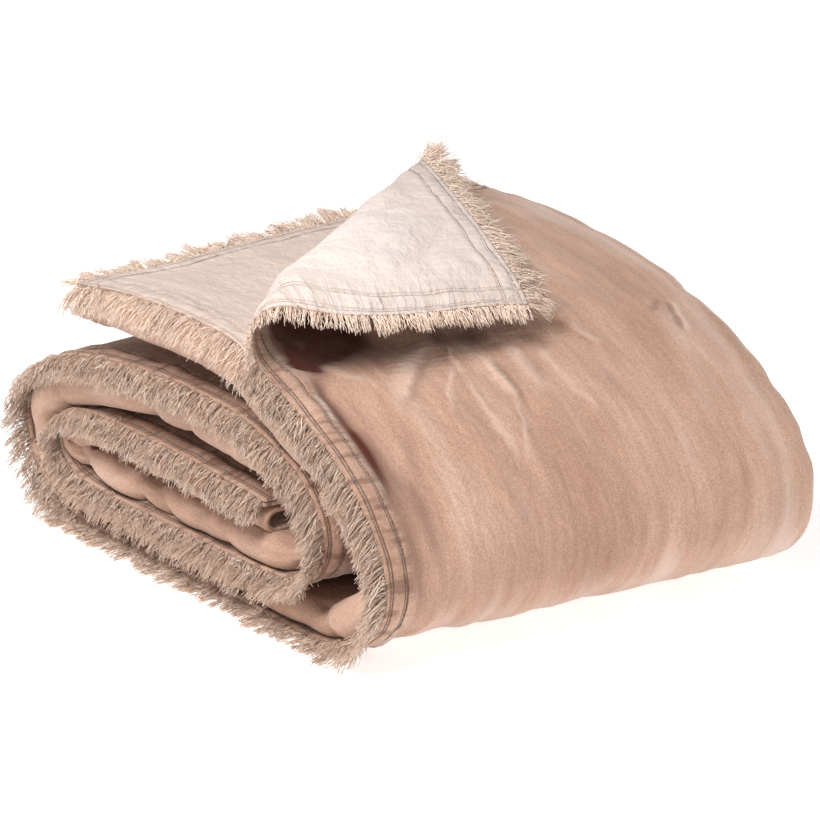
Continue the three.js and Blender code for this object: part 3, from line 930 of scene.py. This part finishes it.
# Reach of a fine crease to each side, in widths
CREASE_REACH = 1.6


def nodes_of(name):
    material = bpy.data.materials.new(name)
    material.use_nodes = True
    tree = material.node_tree
    return material, tree, tree.nodes["Principled BSDF"]


def node(tree, kind, inputs=None, **settings):
    made = tree.nodes.new("ShaderNode" + kind)
    for key, value in settings.items():
        setattr(made, key, value)
    for key, value in (inputs or {}).items():
        if isinstance(value, bpy.types.NodeSocket):
            tree.links.new(value, made.inputs[key])
        else:
            made.inputs[key].default_value = value
    return made


def ramp(tree, factor, stops):
    made = node(tree, "ValToRGB", {"Fac": factor})
    elements = made.color_ramp.elements
    while len(elements) < len(stops):
        elements.new(0.5)
    for element, (at, colour) in zip(elements, stops):
        element.position = at
        element.color = (*colour, 1)
    return made.outputs["Color"]


def mix(tree, factor, a, b, blend="MIX"):
    made = node(tree, "Mix", data_type="RGBA", blend_type=blend)
    for key, value in ((0, factor), (6, a), (7, b)):
        if isinstance(value, bpy.types.NodeSocket):
            tree.links.new(value, made.inputs[key])
        else:
            made.inputs[key].default_value = value if key == 0 else (*value, 1)
    return made.outputs[2]


def noise(tree, vector, scale, detail, rough=0.5):
    sockets = {"Vector": vector, "Scale": scale, "Detail": detail, "Roughness": rough}
    return node(tree, "TexNoise", sockets).outputs["Fac"]


def uv_map(tree, name):
    return node(tree, "UVMap", uv_map=name).outputs["UV"]


def squeezed(tree, vector, scale):
    return node(tree, "Mapping", {"Vector": vector, "Scale": scale}).outputs["Vector"]


def maths(tree, operation, a, b=0.0):
    return node(tree, "Math", {0: a, 1: b}, operation=operation).outputs[0]


def times(tree, product, *factors):
    for factor in factors:
        product = maths(tree, "MULTIPLY", product, factor)
    return product


def greatest(tree, values):
    most = values[0]
    for value in values[1:]:
        most = maths(tree, "MAXIMUM", most, value)
    return most


def vector_maths(tree, operation, *inputs, output="Vector"):
    made = node(tree, "VectorMath", dict(enumerate(inputs)), operation=operation)
    return made.outputs[output]


def fall_off(tree, value, start, end, high=1.0, low=0.0):
    """From high at the start to low at the end."""
    sockets = {"Value": value, "From Min": start, "From Max": end, "To Min": high, "To Max": low}
    return node(tree, "MapRange", sockets, interpolation_type="SMOOTHSTEP").outputs["Result"]


def lay_bumps(tree, shader, *layers):
    """Bumps laid one over the other. Each layer is a height, a strength and a distance."""
    sockets = {}
    for height, strength, distance in layers:
        sockets = {**sockets, "Height": height, "Strength": strength, "Distance": distance}
        sockets = {"Normal": node(tree, "Bump", sockets).outputs["Normal"]}
    tree.links.new(sockets["Normal"], shader.inputs["Normal"])


def tint(tree, tone, *layers):
    """Colours laid one over the other. Each layer is where it lies, how strongly, and its colour."""
    for where, strength, colour in layers:
        tone = mix(tree, times(tree, where, strength), tone, colour)
    return tone


def set_surface(tree, shader, tone, roughness, specular, sheen):
    tree.links.new(tone, shader.inputs["Base Color"])
    shader.inputs["Roughness"].default_value = roughness
    shader.inputs["Specular IOR Level"].default_value = specular
    shader.inputs["Sheen Weight"].default_value = sheen


def hem_detail(tree, flat):
    """Height of the small gathers of a hem, how deep in one a place is, and how near to a seam."""
    split = node(tree, "SeparateXYZ", {"Vector": flat})
    along, across = split.outputs["X"], split.outputs["Y"]
    side = maths(tree, "MINIMUM", across, maths(tree, "SUBTRACT", ACROSS_WHOLE * MM, across))
    heights, tucks, seams = [], [], []
    for inward, squeeze in ((side, (1.0, GATHER_SQUEEZE, 1.0)), (along, (GATHER_SQUEEZE, 1.0, 1.0))):
        bumps = noise(tree, squeezed(tree, flat, squeeze), GATHER_SCALE, 2)
        near = fall_off(tree, inward, *GATHERS_FADE)
        heights.append(times(tree, bumps, near))
        tucks.append(times(tree, fall_off(tree, bumps, 0.36, 0.5), near))
        for line in [groove + shift for groove in GROOVES for shift in (-SEAM_HALF, SEAM_HALF)]:
            off = maths(tree, "ABSOLUTE", maths(tree, "SUBTRACT", inward, line * MM))
            seams.append(fall_off(tree, off, *SEAM_FADE))
    return maths(tree, "ADD", *heights), greatest(tree, tucks), greatest(tree, seams)


def fine_creases(tree, flat):
    """Heights of the fine creases, each a wavering line that fades at both its ends."""
    drift = node(tree, "TexNoise", {"Vector": flat, "Scale": SWAY_SCALE, "Detail": 2})
    sway = vector_maths(tree, "SUBTRACT", drift.outputs["Color"], (0.5, 0.5, 0.5))
    spot = vector_maths(tree, "ADD", flat, vector_maths(tree, "MULTIPLY", sway, (SWAY, SWAY, 0.0)))
    ridges, troughs = [0.0], [0.0]
    for start, end, width, height in FINE_CREASES:
        a, b = (np.array([*place, 0]) * MM for place in (start, end))
        axis = b - a
        from_start = vector_maths(tree, "SUBTRACT", spot, tuple(a))
        along = vector_maths(tree, "DOT_PRODUCT", from_start, tuple(axis / (axis @ axis)), output="Value")
        held = node(tree, "Clamp", {"Value": along}).outputs[0]
        reach = node(tree, "VectorMath", {0: tuple(axis), "Scale": held}, operation="SCALE")
        gap = vector_maths(tree, "SUBTRACT", from_start, reach.outputs[0])
        off = vector_maths(tree, "LENGTH", gap, output="Value")
        line = fall_off(tree, off, 0.0, width * CREASE_REACH * MM, abs(height))
        from_middle = maths(tree, "ABSOLUTE", maths(tree, "SUBTRACT", held, 0.5))
        tapered = times(tree, line, fall_off(tree, from_middle, 0.2, 0.5))
        (ridges if height > 0 else troughs).append(tapered)
    return greatest(tree, ridges), greatest(tree, troughs)


def pull_creases(tree, shade):
    """Creases fanning out from below the turned corner, from none at 0 to 1."""
    fan = uv_map(tree, "fan")
    split = node(tree, "SeparateXYZ", {"Vector": fan})
    away, turn = split.outputs["X"], split.outputs["Y"]
    rays = noise(tree, squeezed(tree, fan, FAN_SQUEEZE), FAN_SCALE, 2)
    ridged = maths(tree, "ABSOLUTE", maths(tree, "SUBTRACT", rays, 0.5))
    return times(
        tree, fall_off(tree, ridged, 0.0, 0.16), fall_off(tree, away, *FAN_END),
        fall_off(tree, away, *FAN_START, 0.0, 1.0), fall_off(tree, turn, *FAN_ANGLES, 0.0, 1.0),
        fall_off(tree, shade, 0.1, 0.4),
    )


def velvet():
    material, tree, shader = nodes_of("velvet")
    object_at = node(tree, "TexCoord").outputs["Object"]
    flat = uv_map(tree, "flat")
    shade = node(tree, "Attribute", attribute_name="shade").outputs["Fac"]
    gathers, tucked, seam = hem_detail(tree, flat)
    ridges, troughs = fine_creases(tree, flat)
    stretched = squeezed(tree, flat, WRINKLE_SQUEEZE)
    tone = ramp(tree, noise(tree, stretched, BROAD_SCALE, 5, 0.65), PILE)
    streaks = noise(tree, squeezed(tree, flat, BRUSH_SQUEEZE), BRUSH_SCALE, 3, 0.6)
    tone = mix(tree, 1.0, tone, ramp(tree, streaks, BRUSH_MARKS), "MULTIPLY")
    grain = noise(tree, object_at, GRAIN_SCALE, 3, 0.7)
    tone = mix(tree, 1.0, tone, ramp(tree, grain, GRAIN), "MULTIPLY")
    # Painted shade where the shade attribute is above zero, painted sheen and highlight where it is below,
    # both with the random mottle
    tone = mix(tree, fall_off(tree, shade, 0.05, 0.9, 0.0, 0.95), tone, ramp(tree, shade, SHADE_AND_MOTTLE_TONES))
    tone = mix(tree, fall_off(tree, shade, -0.6, -0.05, 0.55), tone, HIGHLIGHT_AND_MOTTLE_PALE)
    # Painted highlight on the fine creases' ridges; painted shade in their troughs, in the hem's tucks and
    # along its seams
    tone = tint(
        tree, tone, (ridges, 0.55, RIDGE_HIGHLIGHT), (troughs, 0.6, TROUGH_SHADE),
        (tucked, 0.72, TROUGH_SHADE), (seam, 0.72, VELVET_SEAM_SHADE),
    )
    pulled = times(tree, pull_creases(tree, shade), -0.75)
    wrinkle = maths(tree, "ADD", noise(tree, stretched, WRINKLE_SCALE, 4, 0.65), pulled)
    sewn = maths(tree, "SUBTRACT", gathers, times(tree, seam, 0.3))
    sewn = maths(tree, "ADD", sewn, times(tree, maths(tree, "SUBTRACT", ridges, troughs), 0.23))
    pile = noise(tree, object_at, PILE_SCALE, 2, 0.6)
    lay_bumps(tree, shader, (wrinkle, 0.5, 0.004), (sewn, 1.0, 0.006), (pile, 0.45, 0.001))
    set_surface(tree, shader, tone, 0.9, 0.15, 0.45)
    shader.inputs["Sheen Roughness"].default_value = 0.4
    shader.inputs["Sheen Tint"].default_value = SHEEN_TINT
    return material


def cotton():
    material, tree, shader = nodes_of("cotton_reverse")
    flat = uv_map(tree, "flat")
    shade = node(tree, "Attribute", attribute_name="shade").outputs["Fac"]
    gathers, tucked, seam = hem_detail(tree, flat)
    threads = {"Vector": flat, "Scale": WEAVE_SCALE, "Distortion": 1.2, "Detail": 2, "Detail Scale": 1.5}
    warp, weft = (
        node(tree, "TexWave", threads, bands_direction=way).outputs["Fac"] for way in "XY"
    )
    tone = ramp(tree, noise(tree, flat, REVERSE_BROAD_SCALE, 4, 0.55), REVERSE)
    slub = noise(tree, squeezed(tree, flat, SLUB_SQUEEZE), 1.0, 2)
    tone = mix(tree, 1.0, tone, ramp(tree, slub, SLUBS), "MULTIPLY")
    # Painted highlight on the turned corner's reverse
    tone = mix(tree, fall_off(tree, shade, -0.6, -0.05, 0.5), tone, CORNER_HIGHLIGHT)
    # Painted shade in the hem's tucks and along its seams
    tone = tint(tree, tone, (tucked, 0.22, REVERSE_SEAM_SHADE), (seam, 0.2, REVERSE_SEAM_SHADE))
    wrinkle = noise(tree, flat, REVERSE_WRINKLE_SCALE, 5, 0.62)
    sewn = maths(tree, "SUBTRACT", gathers, times(tree, seam, 0.15))
    weave = maths(tree, "ADD", warp, weft)
    lay_bumps(tree, shader, (wrinkle, 0.9, 0.009), (sewn, 0.9, 0.005), (weave, 0.35, 0.0004))
    set_surface(tree, shader, tone, 0.85, 0.2, 0.15)
    return material


def thread(name, tones, sheen, lift):
    """A twisted thread, each strand of its own tone. Lift is how much paler the strands with a painted
    highlight are.
    """
    material, tree, shader = nodes_of(name)
    at = node(tree, "TexCoord").outputs["UV"]
    strand = node(tree, "SeparateXYZ", {"Vector": at}).outputs["X"]
    # Painted highlight on the strands counted past the plain tones
    highlit = fall_off(tree, strand, 0.92 * HIGHLIGHT_FROM, HIGHLIGHT_FROM, 0.0, lift)
    dark, light = tones
    tone = ramp(tree, maths(tree, "ADD", noise(tree, at, 1.7, 2, 0.6), highlit), [(0.3, dark), (0.72, light)])
    set_surface(tree, shader, tone, 0.65, 0.35, sheen)
    return material


def floor_paint():
    material, _, shader = nodes_of("floor")
    shader.inputs["Base Color"].default_value = (FLOOR_TONE, FLOOR_TONE, FLOOR_TONE, 1)
    shader.inputs["Roughness"].default_value = 0.9
    shader.inputs["Emission Color"].default_value = (1, 1, 1, 1)
    shader.inputs["Emission Strength"].default_value = FLOOR_GLOW
    return material


body = comforter()
body.data.materials.append(velvet())
body.data.materials.append(cotton())
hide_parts("comforter")

outer_runs = long_runs(OUTER, 0.0, OUTER_CORNER_FALL, OUTER_FALL)
inner_runs = long_runs(FLAP, 1.0, INNER_CORNER_FALL, INNER_FALL)
outer = fringe("fringe_outer_long", outer_runs, 101, 2.35, True)
inner = fringe("fringe_inner_long", inner_runs, 202, 2.35, True, 4.0)
ends = fringe("fringe_end", end_runs(), 303, 2.9, False)
fringe_thread = thread("fringe_thread", FRINGE_TONES, 0.12, 0.14)
for piece in (outer, inner, ends):
    piece.data.materials.append(fringe_thread)
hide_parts("fringe_outer_long_edge")
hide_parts("fringe_inner_long_edge")
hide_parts("fringe_end_edge")

sewing = all_stitches()
# Its lift sets the painted highlight of the stitches on the reverse
sewing.data.materials.append(thread("sewing_thread", SEWING_TONES, 0.0, 0.4))

# Floor, light and camera
FLOOR_HALF = 6
FLOOR_TONE = 0.9
FLOOR_GLOW = 0.6
ROOM_LIGHT = 0.36
# Columns: name, place, what it aims at, size, watts
LIGHTS = [
    ("key", (-1.1, -0.35, 1.75), (0, 0, 0.12), 0.7, 44),
    ("fill", (1.5, -1.7, 0.55), (0, 0, 0.10), 1.2, 13),
]
AZIMUTH = -33.0
ELEVATION = 22.0
DISTANCE = 2.6
TARGET = (0.0161, -0.0425, 0.1)
# Where the target lands in the picture, the picture's width and the lens, in its pixels
TARGET_PX = (430, 450)
WIDTH_PX = 820
LENS_PX = 2808.0
SENSOR = 36

corners = [(x * FLOOR_HALF, y * FLOOR_HALF, 0) for x, y in ((-1, -1), (1, -1), (1, 1), (-1, 1))]
floor_mesh = bpy.data.meshes.new("floor")
floor_mesh.from_pydata(corners, [], [(0, 1, 2, 3)])
floor_mesh.materials.append(floor_paint())
floor = in_scene("floor", floor_mesh)

world = bpy.data.worlds.new("studio")
bpy.context.scene.world = world
world.use_nodes = True
sky = world.node_tree.nodes["Background"]
sky.inputs["Color"].default_value = (1, 1, 1, 1)
sky.inputs["Strength"].default_value = ROOM_LIGHT
bpy.context.scene.view_settings.view_transform = "Standard"

for name, at, aim, size, watts in LIGHTS:
    light = bpy.data.lights.new(name, "AREA")
    light.shape = "SQUARE"
    light.size = size
    light.energy = watts
    lamp = in_scene(name, light)
    lamp.location = at
    lamp.rotation_euler = (Vector(aim) - Vector(at)).to_track_quat("-Z", "Y").to_euler()

az, el = math.radians(AZIMUTH), math.radians(ELEVATION)
back = np.array([math.sin(az) * math.cos(el), -math.cos(az) * math.cos(el), math.sin(el)])
camera_data = bpy.data.cameras.new("camera")
camera_data.sensor_width = SENSOR
camera_data.lens = SENSOR * LENS_PX / WIDTH_PX
camera_data.shift_x = (WIDTH_PX / 2 - TARGET_PX[0]) / WIDTH_PX
camera_data.shift_y = (TARGET_PX[1] - WIDTH_PX / 2) / WIDTH_PX
camera_data.clip_end = 20
camera = in_scene("camera", camera_data)
camera.location = np.array(TARGET) + back * DISTANCE
camera.rotation_euler = (math.pi / 2 - el, 0, az)
bpy.context.scene.camera = camera
